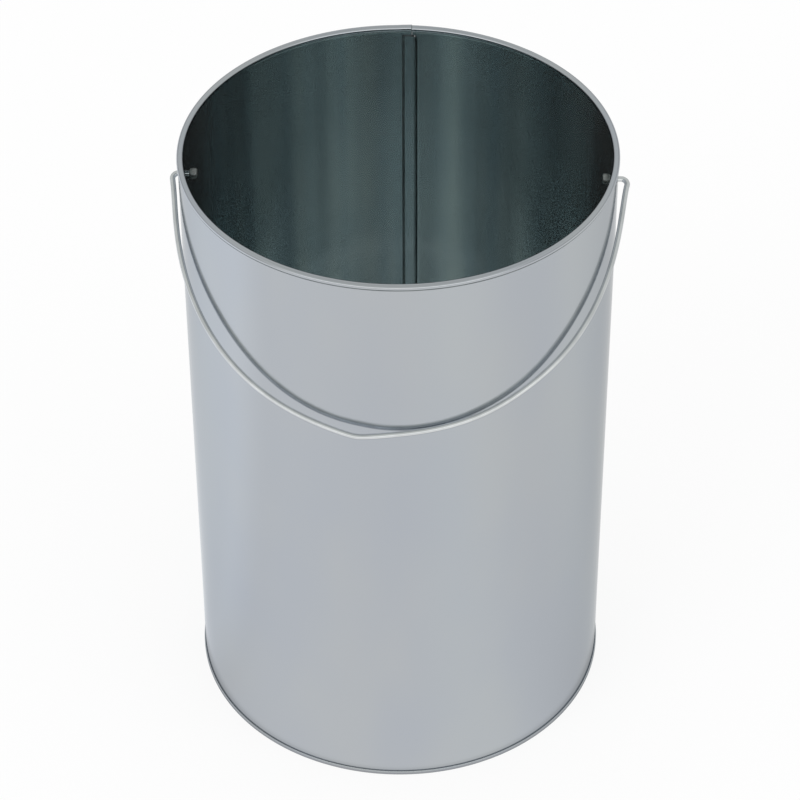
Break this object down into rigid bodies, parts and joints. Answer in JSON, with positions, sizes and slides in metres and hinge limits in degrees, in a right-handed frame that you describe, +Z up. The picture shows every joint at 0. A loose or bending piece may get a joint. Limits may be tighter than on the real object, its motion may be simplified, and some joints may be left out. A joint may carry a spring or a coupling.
{
  "type": "open-topped metal bin",
  "caption": "Straight-sided round metal bin with a curled rim, a lock-seamed body, a double-seamed raised base and a swinging wire handle.",
  "frame": {"origin": "on the bin's axis, in the plane of the ground that the foot seam stands on", "axes": "+Z up the bin's axis; X along the handle's hinge line; the handle hangs at the front, which is -Y, and the lock seam is at the back"},
  "size_m": [0.3146, 0.3079, 0.46],
  "materials": {
    "body_sheet": "bright zinc-coated sheet, rolled smooth, reflective",
    "base_sheet": "bright zinc-coated sheet, slightly duller than the body",
    "handle_wire": "bright drawn wire"
  },
  "bodies": {
    "bin": {"body_shell": "body_sheet", "base_plate": "base_sheet"},
    "handle": {"carry_handle": "handle_wire"}
  },
  "joints": [
    {"name": "handle_hinge", "type": "hinge", "parent": "bin", "child": "handle", "pos_m": [0, 0, 0.4367], "axis": [-1, 0, 0], "range_deg": [0, 246.4]}
  ]
}
